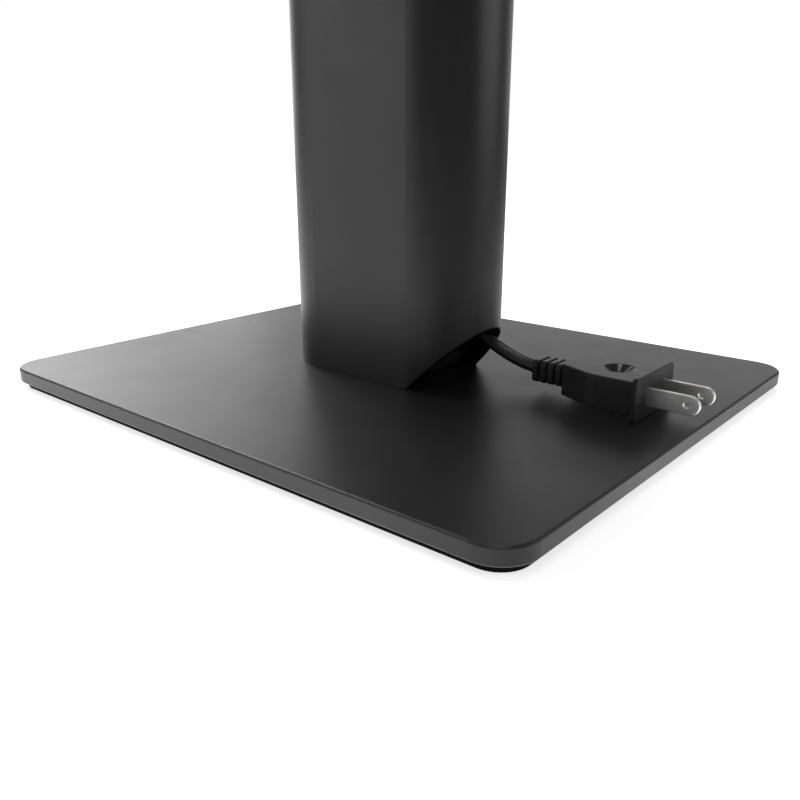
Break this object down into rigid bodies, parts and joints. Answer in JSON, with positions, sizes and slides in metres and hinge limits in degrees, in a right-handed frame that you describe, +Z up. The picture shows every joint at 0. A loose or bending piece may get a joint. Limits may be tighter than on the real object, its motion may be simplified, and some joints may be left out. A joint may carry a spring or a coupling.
{
  "type": "speaker stand",
  "caption": "Floor stand for a compact speaker: steel base plate, hollow flat-oval column with a slanted cable outlet at its foot, top platform, and a power cord with plug.",
  "frame": {"origin": "on the floor, under the middle of the base plate", "axes": "+Z up, -Y towards the front of the stand, +Y towards the rear where the cord comes out, +X to the right seen from the front"},
  "size_m": [0.2034, 0.2433, 0.7618],
  "materials": {
    "steel_powder_coat": "fine satin powder coat",
    "foot_foam": "matte foam rubber",
    "cushion_rubber": "matte",
    "black_screw": "black oxide",
    "zinc_hardware": "zinc plated",
    "bracket_steel": "matte black primer",
    "saddle_nylon": "moulded",
    "cord_jacket": "satin flexible jacket",
    "plug_moulding": "fine moulded texture",
    "plug_blade_metal": "nickel plated",
    "contact_brass": "bright"
  },
  "bodies": {
    "root": {"base_plate": "steel_powder_coat", "base_foam": "foot_foam", "base_screws": "black_screw", "column_tube": "steel_powder_coat", "foot_bracket": "bracket_steel", "foot_weld_nuts": "zinc_hardware", "top_bracket": "bracket_steel", "top_weld_nuts": "zinc_hardware", "cord_saddles": "saddle_nylon", "saddle_screws": "zinc_hardware", "platform": "steel_powder_coat", "platform_screws": "black_screw", "platform_cushions": "cushion_rubber", "cord_in_column": "cord_jacket", "cord_tail": "cord_jacket", "plug_relief": "plug_moulding", "plug_body": "plug_moulding", "plug_blades": "plug_blade_metal", "cord_crown": "cord_jacket", "connector_relief": "plug_moulding", "connector_body": "plug_moulding", "connector_contacts": "contact_brass"}
  },
  "joints": []
}
